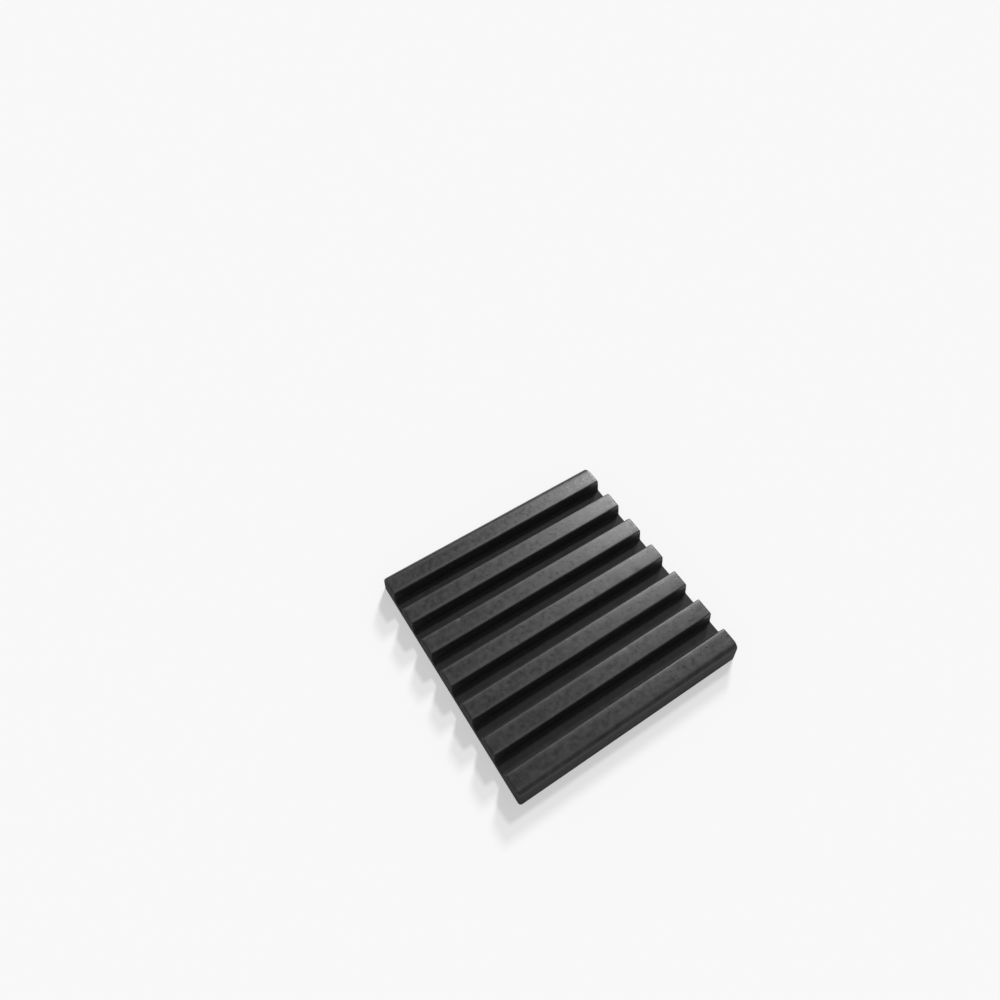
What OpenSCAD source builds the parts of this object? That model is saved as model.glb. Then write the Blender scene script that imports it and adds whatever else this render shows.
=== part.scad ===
// Anti-vibration machine pad: one square slab of solid rubber with parallel flat-topped ribs on its
// upper face. The underside is flat. A machine foot stands on the rib tops.
// Millimetres. X runs along the ribs, Y across them and Z up from the centre of the underside.

/* [Pad] */
// Length of the pad along the ribs
pad_length = 100; // [40:1:300]
// Width of the pad across the ribs, at the underside
pad_width = 100; // [85:1:200]
// Thickness from the underside to the rib tops
pad_thickness = 10; // [8:0.5:20]
// Lean of the two long outer faces from upright, in degrees
side_lean = 7; // [0:0.5:15]
// Radius of the four upright corners
corner_radius = 1.2; // [0.3:0.1:4]
// Radius of the two long outer top edges
outer_edge_radius = 2.8; // [0.3:0.1:4]
// Radius of the top edge at the two cut ends
end_edge_radius = 0.7; // [0.2:0.1:2]

/* [Ribs] */
// Number of ribs
rib_count = 7; // [3:1:8]
// Width of the top of an inner rib
rib_top_width = 7.3; // [4:0.1:9]
// Width of the top of the first and the last rib
outer_rib_top_width = 8.6; // [5:0.1:14]
// Depth of the grooves
groove_depth = 5.8; // [2:0.1:7]
// Lean of the groove walls from upright, in degrees
wall_lean = 11; // [0:0.5:15]
// Radius of the rib edges along the grooves
rib_edge_radius = 0.5; // [0.2:0.1:1.5]
// Radius of the fillet where a groove wall meets the floor
foot_radius = 0.7; // [0.2:0.1:1.5]

/* [Hidden] */
$fn = 64;
// How far a cut reaches past the face that it opens
cut_margin = 1;
// How much wider a rounding arc is than one that only touches its two faces, so that it meets both
arc_overlap = 1.01;
// Width across the rib tops, between the sharp corners of the two long outer faces
top_width = pad_width - 2 * pad_thickness * tan(side_lean);
// Width of a groove at the rib tops and at its floor
groove_top_width =
    (top_width - 2 * outer_rib_top_width - (rib_count - 2) * rib_top_width) / (rib_count - 1);
groove_floor_width = groove_top_width - 2 * groove_depth * tan(wall_lean);
rib_pitch = rib_top_width + groove_top_width;
floor_height = pad_thickness - groove_depth;

function direction(angle) = [cos(angle), sin(angle)];

// What lies between a corner and the arc that rounds it off, reaching past the corner by the margin.
// The corner's two edges leave it at the angles first and last, counted anticlockwise.
module corner_sliver(corner, first, last, radius) {
    half_angle = (last - first) / 2;
    reach = radius / tan(half_angle);
    inward = direction((first + last) / 2);
    centre = corner + inward * radius / sin(half_angle);
    difference() {
        polygon([
            corner - inward * cut_margin,
            corner + direction(first) * reach,
            centre,
            corner + direction(last) * reach,
        ]);
        translate(centre) circle(radius * arc_overlap);
    }
}

// What is cut away to round a square edge, seen along it, from the centre of the round
module edge_cut(radius) {
    difference() {
        square(radius + cut_margin);
        circle(radius * arc_overlap);
    }
}

// Draws its children here and again mirrored across the middle line
module both_sides() {
    children();
    mirror([1, 0]) children();
}

// Section of the slab before its grooves are cut, with the long outer top edges rounded
module slab_section() {
    difference() {
        polygon([
            [-pad_width / 2, 0],
            [pad_width / 2, 0],
            [top_width / 2, pad_thickness],
            [-top_width / 2, pad_thickness],
        ]);
        both_sides()
            corner_sliver([top_width / 2, pad_thickness], 180, 270 + side_lean, outer_edge_radius);
    }
}

// Section of one groove: leaning walls, filleted feet, and mouths that round the rib edges
module groove_section() {
    difference() {
        polygon([
            [-groove_floor_width / 2, floor_height],
            [groove_floor_width / 2, floor_height],
            [groove_top_width / 2, pad_thickness],
            [groove_top_width / 2, pad_thickness + cut_margin],
            [-groove_top_width / 2, pad_thickness + cut_margin],
            [-groove_top_width / 2, pad_thickness],
        ]);
        both_sides()
            corner_sliver([groove_floor_width / 2, floor_height], 90 - wall_lean, 180, foot_radius);
    }
    both_sides()
        corner_sliver([groove_top_width / 2, pad_thickness], -90 - wall_lean, 0, rib_edge_radius);
}

module pad_section() {
    difference() {
        slab_section();
        for (groove = [1 : rib_count - 1])
            translate([(groove - rib_count / 2) * rib_pitch, 0]) groove_section();
    }
}

// Cuts that round the top edge of both ends
module end_edge_cuts() {
    rotate([90, 0, 0])
        linear_extrude(pad_width + 2 * cut_margin, center = true)
            both_sides()
                translate([pad_length / 2 - end_edge_radius, pad_thickness - end_edge_radius])
                    edge_cut(end_edge_radius);
}

// Cuts that round the four upright corners, which lean with the long outer faces
module corner_cuts() {
    for (flip = [0, 1])
        mirror([0, flip, 0])
            translate([0, pad_width / 2, 0])
                rotate([side_lean, 0, 0])
                    translate([0, 0, -cut_margin])
                        linear_extrude(pad_thickness / cos(side_lean) + 2 * cut_margin)
                            both_sides()
                                translate([pad_length / 2 - corner_radius, -corner_radius])
                                    edge_cut(corner_radius);
}

module ribbed_pad() {
    color([0.16, 0.16, 0.165])
        difference() {
            rotate([90, 0, 90]) linear_extrude(pad_length, center = true) pad_section();
            end_edge_cuts();
            corner_cuts();
        }
}

ribbed_pad();
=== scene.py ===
"""Looks of a ribbed rubber machine pad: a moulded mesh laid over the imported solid, its rubber, a pale
floor, soft light and the camera. Metres. X runs along the ribs, Y across them and Z up."""
import math
import random

import bmesh
import bpy
import numpy as np
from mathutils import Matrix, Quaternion, Vector, noise


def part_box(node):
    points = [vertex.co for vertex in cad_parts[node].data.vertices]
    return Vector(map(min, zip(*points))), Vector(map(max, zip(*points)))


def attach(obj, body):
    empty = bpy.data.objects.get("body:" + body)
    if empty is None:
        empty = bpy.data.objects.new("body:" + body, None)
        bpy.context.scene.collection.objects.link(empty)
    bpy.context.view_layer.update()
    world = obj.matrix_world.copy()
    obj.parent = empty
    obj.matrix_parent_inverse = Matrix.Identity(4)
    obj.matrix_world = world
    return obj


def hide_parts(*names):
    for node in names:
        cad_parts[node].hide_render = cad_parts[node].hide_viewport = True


MM = 0.001

# The outline of the pad's section: the fine steps in which it is walked and softened, and the coarser
# ones of the mesh. Each bend is shared out over BEND_SPREAD fine steps, so that points lie beside it
# too. What lies below UNDERSIDE_BAND counts as the underside.
WELD = 0.001 * MM
FINE_STEP = 0.1 * MM
SOFTEN_PASSES = 6
FLAT_STEP = 1.3 * MM
BEND_STEP = math.radians(9)
BEND_SPREAD = 7
UNDERSIDE_STEP = 6 * MM
UNDERSIDE_BAND = 0.05 * MM
SHARP_BEND = math.radians(2.5)

# The rows of points along the ribs, and how the cut ends are eased: their upright corners, their top
# edge, and every edge a little. A band says from how far away, and up to how near, an easing grows.
ROW_STEP = 0.45 * MM
END_ROWS = 8
CORNER_RADIUS = 1.2 * MM
END_TOP_RADIUS = 0.7 * MM
END_EDGE_RADIUS = 0.15 * MM
CORNER_BAND = (6 * MM, 2 * MM)
END_TOP_BAND = (2.7 * MM, 0.7 * MM)

# Unevenness of the moulded rubber: how far the surface falls short, and over what length. Wear, and the
# painted edge highlight laid with it, fade within WEAR_REACH of a rib edge.
SWELL = 0.04 * MM
SWELL_LENGTH = 22 * MM
EDGE_STRAY = 0.05 * MM
EDGE_STRAY_LENGTH = 5 * MM
WEAR_REACH = 0.5 * MM
WEAR_AND_HIGHLIGHT_LAYER = "edge_wear_and_highlight"

# Nicks on the rib edges: two that the photograph shows, at x and y, and small ones spread by chance
# where the wear is above NICK_WEAR. A nick ends at NICK_REACH times its half length.
SEEN_NICKS = ((-33 * MM, 18.3 * MM), (-49.5 * MM, -25.6 * MM))
SEEN_NICK_LENGTH = 1.1 * MM
SEEN_NICK_DEPTH = 0.18 * MM
NICK_SEED = 11
NICK_COUNT = 5
NICK_LENGTH = (0.7 * MM, 1.6 * MM)
NICK_DEPTH = (0.03 * MM, 0.07 * MM)
NICK_WEAR = 0.9
NICK_REACH = 2

# The rubber's colours and its roughness
RUBBER_DARK = (0.003, 0.003, 0.0031, 1)
RUBBER_LIGHT = (0.025, 0.025, 0.0255, 1)
# The lighter colour of worn rubber, laid in clouds and along the rib edges, where it is partly a painted
# highlight
RUBBER_WORN_AND_HIGHLIGHT = (0.05, 0.05, 0.051, 1)
# A darker colour painted into the grooves and on the lower outer sides: painted shade
RUBBER_PAINTED_SHADE = (0.007, 0.007, 0.0072, 1)
RUBBER_IOR = 1.5
DULL_TOP = 0.37
BRIGHT_TOP = 0.265
EDGE_ROUGHNESS = 0.42
GROOVE_ROUGHNESS = 0.8
CUT_ROUGHNESS = 0.9

# What the rubber's surface shows: how large it is, how high it stands, and the range of the noise over
# which it turns from one look to the other
NOISE_DETAIL = 2.0
NOISE_ROUGHNESS = 0.55
MOTTLE_SIZE = 2.8 * MM
MOTTLE_HEIGHT = 0.022 * MM
MOTTLE_RANGE = (0.3, 0.7)
GRAIN_SIZE = 0.7 * MM
GRAIN_HEIGHT = 0.011 * MM
CLOUD_SIZE = 14 * MM
CLOUD_RANGE = (0.4, 0.75)
PATCH_SIZE = 2.0 * MM
PATCH_RANGE = (0.35, 0.65)
DRAG_SIZE = 0.5 * MM
DRAG_HEIGHT = 0.06 * MM
DRAG_STRETCH = (1, 1, 0.08)

# How much is mixed in at most: the worn colour in clouds, and on edges as wear and painted highlight, the
# darker colour of painted shade in the grooves, and the roughness of the edges
CLOUD_SHARE = 0.15
WORN_AND_HIGHLIGHT_SHARE = 0.45
PAINTED_SHADE_SHARE = 0.6
DULLED_SHARE = 0.6
# The band of height, in parts of the thickness, over which the sheen of the rib tops gives way to the dull
# grooves and their painted shade
GROOVE_TOP = 0.95
GROOVE_FOOT = 0.75
# How squarely a face looks along the ribs, from where it starts to count as a cut end to where it does
CUT_FACING = (0.8, 0.95)

# Sockets of a mix node: the first, the second and the result
MIX_COLOURS = (6, 7, 2)
MIX_VALUES = (2, 3, 0)

# The camera that took the photograph, found from the rib edges
CAMERA_PLACE = Vector((-84.5, -86.4, 275.0)) * MM
CAMERA_AIM = Vector((9.0, 54.6, 10.0)) * MM
CAMERA_ROLL = math.radians(0.95)
CAMERA_LENS = 26.76
CAMERA_NEAR = 1 * MM
SENSOR_WIDTH = 36

# Floor and light. A bearing is counted from +Y towards +X, and a height above the floor.
FLOOR_REACH = 6.0
FLOOR_COLOUR = (0.93, 0.93, 0.93, 1)
FLOOR_WHITENING = 0.5
KEY_BEARING = math.radians(49)
KEY_HEIGHT = math.radians(32)
KEY_STRENGTH = 2.0
KEY_SPREAD = math.radians(10)
SHEEN_BEARING = math.radians(54)
SHEEN_HEIGHT = math.radians(49)
SHEEN_STRENGTH = 1.5
SHEEN_SPREAD = math.radians(8)
WORLD_FILL = (0.25, 0.25, 0.25, 1)
WORLD_SEEN = (0.4, 0.4, 0.4, 1)


def section_corners(node):
    """The pad's section at mid length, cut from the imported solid: (y, z) points, anticlockwise from +X."""
    cut = bmesh.new()
    cut.from_mesh(node.data)
    bmesh.ops.remove_doubles(cut, verts=cut.verts, dist=WELD)
    bmesh.ops.bisect_plane(
        cut,
        geom=cut.verts[:] + cut.edges[:] + cut.faces[:],
        plane_co=(0, 0, 0),
        plane_no=(1, 0, 0),
        clear_inner=True,
        clear_outer=True,
    )
    cut.verts.ensure_lookup_table()
    start = cut.verts[0]
    here, edge = start, start.link_edges[0]
    corners = []
    while True:
        corners.append((here.co.y, here.co.z))
        here = edge.other_vert(here)
        if here == start:
            break
        edge = next(e for e in here.link_edges if e != edge)
    cut.free()
    corners = np.array(corners)
    y, z = corners.T
    if np.sum(y * np.roll(z, -1) - np.roll(y, -1) * z) < 0:
        corners = corners[::-1]
    return corners


def fine_outline(corners):
    """The section walked in even small steps, with its bends softened."""
    closed = np.vstack([corners, corners[:1]])
    lengths = np.linalg.norm(np.diff(closed, axis=0), axis=1)
    along = np.concatenate([[0], np.cumsum(lengths)])
    steps = np.linspace(0, along[-1], round(along[-1] / FINE_STEP), endpoint=False)
    outline = np.column_stack([np.interp(steps, along, closed[:, k]) for k in (0, 1)])
    for _ in range(SOFTEN_PASSES):
        outline = (np.roll(outline, 1, 0) + 2 * outline + np.roll(outline, -1, 0)) / 4
    return outline


def graded_outline(corners, thickness):
    """Points of the section, close together on its bends and just beside them, with what each one
    needs: its outward normal, and how near it lies to a rib edge, from 0 to 1."""
    outline = fine_outline(corners)
    ahead = np.roll(outline, -1, 0) - np.roll(outline, 1, 0)
    length = np.linalg.norm(ahead, axis=1) / 2
    heading = np.unwrap(np.arctan2(ahead[:, 1], ahead[:, 0]))
    turn = np.diff(heading, append=heading[0] + 2 * math.pi)
    normals = np.column_stack([np.sin(heading), -np.cos(heading)])

    step = np.where(outline[:, 1] < UNDERSIDE_BAND, UNDERSIDE_STEP, FLAT_STEP)
    reach = range(-(BEND_SPREAD // 2), BEND_SPREAD // 2 + 1)
    bend = np.mean([np.roll(np.abs(turn), k) for k in reach], axis=0)
    cost = np.cumsum(length / step + bend / BEND_STEP)
    picks = np.unique(np.searchsorted(cost, np.arange(0, cost[-1])))

    convex = (turn > SHARP_BEND) & (outline[:, 1] > thickness / 2)
    gaps = np.linalg.norm(outline[picks, None] - outline[None, convex], axis=2).min(axis=1)
    return outline[picks], normals[picks], np.exp(-((gaps / WEAR_REACH) ** 2))


def row_places(length):
    """Places of the rows of points along X: even along the pad, close together where the ends round."""
    turns = np.linspace(0, math.pi / 2, END_ROWS)
    near_end = CORNER_RADIUS * (1 - np.cos(turns))
    inner = length / 2 - CORNER_RADIUS
    middle = np.linspace(-inner, inner, round(2 * inner / ROW_STEP))
    return np.concatenate([near_end - length / 2, middle[1:-1], length / 2 - near_end[::-1]])


def end_easing(to_end, radius):
    """How far a round of that radius draws the surface in, at a distance from the cut end."""
    left = max(radius - to_end, 0)
    return radius - math.sqrt(max(radius * radius - left * left, 0))


def rising(away, far, near):
    """A weight that rises smoothly from 0 at the far distance to 1 at the near one."""
    step = np.clip((far - away) / (far - near), 0, 1)
    return step * step * (3 - 2 * step)


def edge_nicks(points, wear, length, thickness):
    """Small nicks along the rib edges: (place, half length, depth)."""
    draw = random.Random(NICK_SEED)
    edges = [i for i in range(len(points)) if wear[i] > NICK_WEAR]
    nicks = [(Vector((x, y, thickness)), SEEN_NICK_LENGTH, SEEN_NICK_DEPTH) for x, y in SEEN_NICKS]
    for _ in range(NICK_COUNT):
        y, z = points[draw.choice(edges)]
        place = Vector((draw.uniform(-length / 2, length / 2), y, z))
        nicks.append((place, draw.uniform(*NICK_LENGTH), draw.uniform(*NICK_DEPTH)))
    return nicks


def nicked(place, nicks):
    """How deep the nicks cut at a place, and how worn they leave it, from 0 to 1."""
    cut, worn = 0, 0
    for centre, half_length, depth in nicks:
        away = (place - centre).length / half_length
        if away < NICK_REACH:
            fade = math.exp(-away * away)
            cut += depth * fade
            worn = max(worn, fade)
    return cut, worn


def waves(place, length):
    """Smooth noise around a half, with waves about that long."""
    return 0.5 + 0.5 * noise.noise(place / length)


def unevenness(place, wear):
    """How far the moulded surface falls short of its true place."""
    return SWELL * waves(place, SWELL_LENGTH) + EDGE_STRAY * wear * waves(place, EDGE_STRAY_LENGTH)


def skinned(name, shape, rings):
    """A closed mesh over rings of points, smooth along the rings and flat on the two end caps."""
    count = len(rings[0])
    for this, after in zip(rings, rings[1:]):
        for i in range(count):
            k = (i + 1) % count
            shape.faces.new((this[i], after[i], after[k], this[k]))
    for face in shape.faces:
        face.smooth = True
    caps = [shape.faces.new(rings[0]), shape.faces.new(rings[-1])]
    shape.normal_update()
    bmesh.ops.triangulate(shape, faces=caps)
    bmesh.ops.recalc_face_normals(shape, faces=shape.faces[:])
    mesh = bpy.data.meshes.new(name)
    shape.to_mesh(mesh)
    shape.free()
    return mesh


def rubber_pad(node):
    """The pad as a fine mesh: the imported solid's section carried along X, with eased ends and nicks."""
    low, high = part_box(node.name)
    length, half_width, thickness = high.x - low.x, high.y, high.z
    points, normals, wear = graded_outline(section_corners(node), thickness)
    nicks = edge_nicks(points, wear, length, thickness)
    by_corner = rising(half_width - np.abs(points[:, 0]), *CORNER_BAND)
    by_top = rising(thickness - points[:, 1], *END_TOP_BAND)

    shape = bmesh.new()
    rings, worn = [], []
    for x in row_places(length):
        ring = []
        to_end = length / 2 - abs(x)
        drawn_in = end_easing(to_end, CORNER_RADIUS)
        drawn_down = end_easing(to_end, END_TOP_RADIUS)
        drawn_off = end_easing(to_end, END_EDGE_RADIUS)
        for (y, z), (ny, nz), near, corner, top in zip(points, normals, wear, by_corner, by_top):
            place = Vector((x, y - math.copysign(drawn_in * corner, y), z - drawn_down * top))
            cut, damage = nicked(place, nicks)
            short = drawn_off + cut
            if z > UNDERSIDE_BAND:
                short += unevenness(place, near)
            ring.append(shape.verts.new(place - Vector((0, ny, nz)) * short))
            worn.append(max(near, damage))
        rings.append(ring)
    mesh = skinned("rubber_pad", shape, rings)
    # The edge weight, stored for the rubber, lightens the colour along the edges as wear and painted
    # highlight
    mesh.attributes.new(WEAR_AND_HIGHLIGHT_LAYER, "FLOAT", "POINT").data.foreach_set("value", worn)

    pad = bpy.data.objects.new("rubber_pad", mesh)
    bpy.context.scene.collection.objects.link(pad)
    return pad


def noise_node(nodes, links, place, size):
    """A noise texture at a place, given as a socket, with features about that many metres across."""
    node = nodes.new("ShaderNodeTexNoise")
    node.inputs["Scale"].default_value = 1 / size
    node.inputs["Detail"].default_value = NOISE_DETAIL
    node.inputs["Roughness"].default_value = NOISE_ROUGHNESS
    links.new(place, node.inputs["Vector"])
    return node.outputs["Fac"]


def ranged(nodes, links, source, low, high, to_low, to_high):
    """Maps a value from one range to another, clamped."""
    node = nodes.new("ShaderNodeMapRange")
    node.inputs["From Min"].default_value = low
    node.inputs["From Max"].default_value = high
    node.inputs["To Min"].default_value = to_low
    node.inputs["To Max"].default_value = to_high
    links.new(source, node.inputs["Value"])
    return node.outputs["Result"]


def up_to(nodes, links, source, share):
    """Scales a value between 0 and 1 down to a share."""
    return ranged(nodes, links, source, 0, 1, 0, share)


def mixed(nodes, links, factor, first, second):
    """Mixes two colours, given as sockets or as values."""
    node = nodes.new("ShaderNodeMix")
    node.data_type = "RGBA"
    links.new(factor, node.inputs["Factor"])
    first_socket, second_socket, result = MIX_COLOURS
    for socket, colour in ((first_socket, first), (second_socket, second)):
        if isinstance(colour, tuple):
            node.inputs[socket].default_value = colour
        else:
            links.new(colour, node.inputs[socket])
    return node.outputs[result]


def mixed_value(nodes, links, factor, first, second):
    """Moves a value, given as a socket, towards a number."""
    node = nodes.new("ShaderNodeMix")
    links.new(factor, node.inputs["Factor"])
    first_socket, second_socket, result = MIX_VALUES
    links.new(first, node.inputs[first_socket])
    node.inputs[second_socket].default_value = second
    return node.outputs[result]


def joined(nodes, links, operation, first, second):
    """Joins two values, given as sockets, by the operation that is named."""
    node = nodes.new("ShaderNodeMath")
    node.operation = operation
    links.new(first, node.inputs[0])
    links.new(second, node.inputs[1])
    return node.outputs[0]


def bumped(nodes, links, relief, height, under=None):
    """A bump of that height in metres, over the bump given as under."""
    node = nodes.new("ShaderNodeBump")
    node.inputs["Distance"].default_value = height
    links.new(relief, node.inputs["Height"])
    if under is not None:
        links.new(under, node.inputs["Normal"])
    return node.outputs["Normal"]


def split(nodes, links, vector, axis):
    """One coordinate of a vector."""
    node = nodes.new("ShaderNodeSeparateXYZ")
    links.new(vector, node.inputs["Vector"])
    return node.outputs[axis]


def cut_end_mask(nodes, links):
    """1 on the two cut ends and 0 elsewhere."""
    normal = nodes.new("ShaderNodeNewGeometry").outputs["True Normal"]
    facing = nodes.new("ShaderNodeMath")
    facing.operation = "ABSOLUTE"
    links.new(split(nodes, links, normal, "X"), facing.inputs[0])
    return ranged(nodes, links, facing.outputs[0], *CUT_FACING, 0, 1)


def drag_lines(nodes, links, place, cut):
    """Lines that the knife has left on the cut ends."""
    stretched = nodes.new("ShaderNodeMapping")
    stretched.inputs["Scale"].default_value = DRAG_STRETCH
    links.new(place, stretched.inputs["Vector"])
    lines = noise_node(nodes, links, stretched.outputs["Vector"], DRAG_SIZE)
    return joined(nodes, links, "MULTIPLY", lines, cut)


def black_rubber(thickness):
    """Black rubber: mottled and finely grained, lighter along the edges from wear and a painted highlight,
    with duller and brighter patches on the rib tops, dull on the cut ends, and dull with painted shade in
    the grooves."""
    material = bpy.data.materials.new("black_rubber")
    material.use_nodes = True
    nodes, links = material.node_tree.nodes, material.node_tree.links
    shader = nodes["Principled BSDF"]
    place = nodes.new("ShaderNodeTexCoord").outputs["Object"]
    attribute = nodes.new("ShaderNodeAttribute")
    attribute.attribute_name = WEAR_AND_HIGHLIGHT_LAYER
    wear = attribute.outputs["Fac"]
    cut = cut_end_mask(nodes, links)
    height = split(nodes, links, place, "Z")
    depth = ranged(nodes, links, height, GROOVE_TOP * thickness, GROOVE_FOOT * thickness, 0, 1)
    mottle = noise_node(nodes, links, place, MOTTLE_SIZE)
    cloud = noise_node(nodes, links, place, CLOUD_SIZE)
    grain = noise_node(nodes, links, place, GRAIN_SIZE)
    patches = noise_node(nodes, links, place, PATCH_SIZE)

    lightness = ranged(nodes, links, mottle, *MOTTLE_RANGE, 0, 1)
    clouding = ranged(nodes, links, cloud, *CLOUD_RANGE, 0, CLOUD_SHARE)
    tone = mixed(nodes, links, lightness, RUBBER_DARK, RUBBER_LIGHT)
    tone = mixed(nodes, links, clouding, tone, RUBBER_WORN_AND_HIGHLIGHT)
    # Lighter along the rib edges and at the nicks: wear, and on the edges partly a painted highlight
    tone = mixed(nodes, links, up_to(nodes, links, wear, WORN_AND_HIGHLIGHT_SHARE), tone, RUBBER_WORN_AND_HIGHLIGHT)
    # Painted shade: the colour darkens into the grooves and down the lower outer sides
    tone = mixed(nodes, links, up_to(nodes, links, depth, PAINTED_SHADE_SHARE), tone, RUBBER_PAINTED_SHADE)
    links.new(tone, shader.inputs["Base Color"])

    dulled = up_to(nodes, links, wear, DULLED_SHARE)
    rough = ranged(nodes, links, patches, *PATCH_RANGE, DULL_TOP, BRIGHT_TOP)
    rough = mixed_value(nodes, links, dulled, rough, EDGE_ROUGHNESS)
    rough = mixed_value(nodes, links, depth, rough, GROOVE_ROUGHNESS)
    rough = mixed_value(nodes, links, cut, rough, CUT_ROUGHNESS)
    links.new(rough, shader.inputs["Roughness"])
    shader.inputs["IOR"].default_value = RUBBER_IOR

    normal = bumped(nodes, links, mottle, MOTTLE_HEIGHT)
    normal = bumped(nodes, links, grain, GRAIN_HEIGHT, normal)
    normal = bumped(nodes, links, drag_lines(nodes, links, place, cut), DRAG_HEIGHT, normal)
    links.new(normal, shader.inputs["Normal"])
    return material


def seen_ray(nodes, links):
    """1 for what is seen straight on, in a reflection or through glass, and 0 for spread light."""
    path = nodes.new("ShaderNodeLightPath")
    seen = path.outputs["Is Camera Ray"]
    for other in ("Is Glossy Ray", "Is Transmission Ray"):
        seen = joined(nodes, links, "MAXIMUM", seen, path.outputs[other])
    return seen


def floor_paint():
    """Matte pale paint. Seen straight on or in a reflection it is mixed with plain white, so that the
    background looks nearly white and the shadow light."""
    material = bpy.data.materials.new("floor")
    material.use_nodes = True
    nodes, links = material.node_tree.nodes, material.node_tree.links
    paint = nodes["Principled BSDF"]
    paint.inputs["Base Color"].default_value = FLOOR_COLOUR
    paint.inputs["Roughness"].default_value = 1
    paint.inputs["Specular IOR Level"].default_value = 0
    white = nodes.new("ShaderNodeEmission")
    blend = nodes.new("ShaderNodeMixShader")
    whitening = up_to(nodes, links, seen_ray(nodes, links), FLOOR_WHITENING)
    links.new(whitening, blend.inputs["Fac"])
    links.new(paint.outputs["BSDF"], blend.inputs[1])
    links.new(white.outputs["Emission"], blend.inputs[2])
    links.new(blend.outputs["Shader"], nodes["Material Output"].inputs["Surface"])
    return material


def pale_floor():
    """A wide pale floor at the pad's underside."""
    mesh = bpy.data.meshes.new("floor")
    corners = [(x, y, 0) for x, y in ((-1, -1), (1, -1), (1, 1), (-1, 1))]
    mesh.from_pydata([Vector(c) * FLOOR_REACH for c in corners], [], [(0, 1, 2, 3)])
    mesh.materials.append(floor_paint())
    floor = bpy.data.objects.new("floor", mesh)
    bpy.context.scene.collection.objects.link(floor)


def towards(bearing, height):
    """The direction of a light seen from the pad."""
    level = math.cos(height)
    return Vector((math.sin(bearing) * level, math.cos(bearing) * level, math.sin(height)))


def lamp(name, bearing, height, strength, spread):
    """A far lamp that looks at the pad."""
    data = bpy.data.lights.new(name, "SUN")
    data.energy = strength
    data.angle = spread
    holder = bpy.data.objects.new(name, data)
    away = towards(bearing, height)
    holder.location = away
    holder.rotation_mode = "QUATERNION"
    holder.rotation_quaternion = (-away).to_track_quat("-Z", "Y")
    bpy.context.scene.collection.objects.link(holder)


def pale_world():
    """Even fill from all around. What is seen of it, straight on or in a reflection, is paler."""
    world = bpy.data.worlds.new("studio")
    world.use_nodes = True
    nodes, links = world.node_tree.nodes, world.node_tree.links
    colour = mixed(nodes, links, seen_ray(nodes, links), WORLD_FILL, WORLD_SEEN)
    links.new(colour, nodes["Background"].inputs["Color"])
    bpy.context.scene.world = world


def studio_light():
    """A low key from behind, a weaker lamp above it for the sheen of the rib tops, and even fill."""
    lamp("key", KEY_BEARING, KEY_HEIGHT, KEY_STRENGTH, KEY_SPREAD)
    lamp("sheen", SHEEN_BEARING, SHEEN_HEIGHT, SHEEN_STRENGTH, SHEEN_SPREAD)
    pale_world()


def photo_camera():
    """The camera, where the photograph was taken from."""
    data = bpy.data.cameras.new("camera")
    data.sensor_width = SENSOR_WIDTH
    data.lens = CAMERA_LENS
    data.clip_start = CAMERA_NEAR
    camera = bpy.data.objects.new("camera", data)
    camera.location = CAMERA_PLACE
    camera.rotation_mode = "QUATERNION"
    level = (CAMERA_AIM - CAMERA_PLACE).to_track_quat("-Z", "Y")
    camera.rotation_quaternion = level @ Quaternion((0, 0, 1), CAMERA_ROLL)
    bpy.context.scene.collection.objects.link(camera)
    bpy.context.scene.camera = camera


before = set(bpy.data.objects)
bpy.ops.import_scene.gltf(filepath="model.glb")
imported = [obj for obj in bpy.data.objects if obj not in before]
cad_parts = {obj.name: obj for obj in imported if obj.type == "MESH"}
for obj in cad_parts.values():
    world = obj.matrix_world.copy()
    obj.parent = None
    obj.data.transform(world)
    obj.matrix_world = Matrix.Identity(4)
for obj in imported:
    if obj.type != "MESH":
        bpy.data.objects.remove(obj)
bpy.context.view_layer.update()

pad = rubber_pad(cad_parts["ribbed_pad"])
pad.data.materials.append(black_rubber(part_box("ribbed_pad")[1].z))
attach(pad, "root")
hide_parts("ribbed_pad")

pale_floor()
studio_light()
photo_camera()
bpy.context.scene.view_settings.view_transform = "Standard"
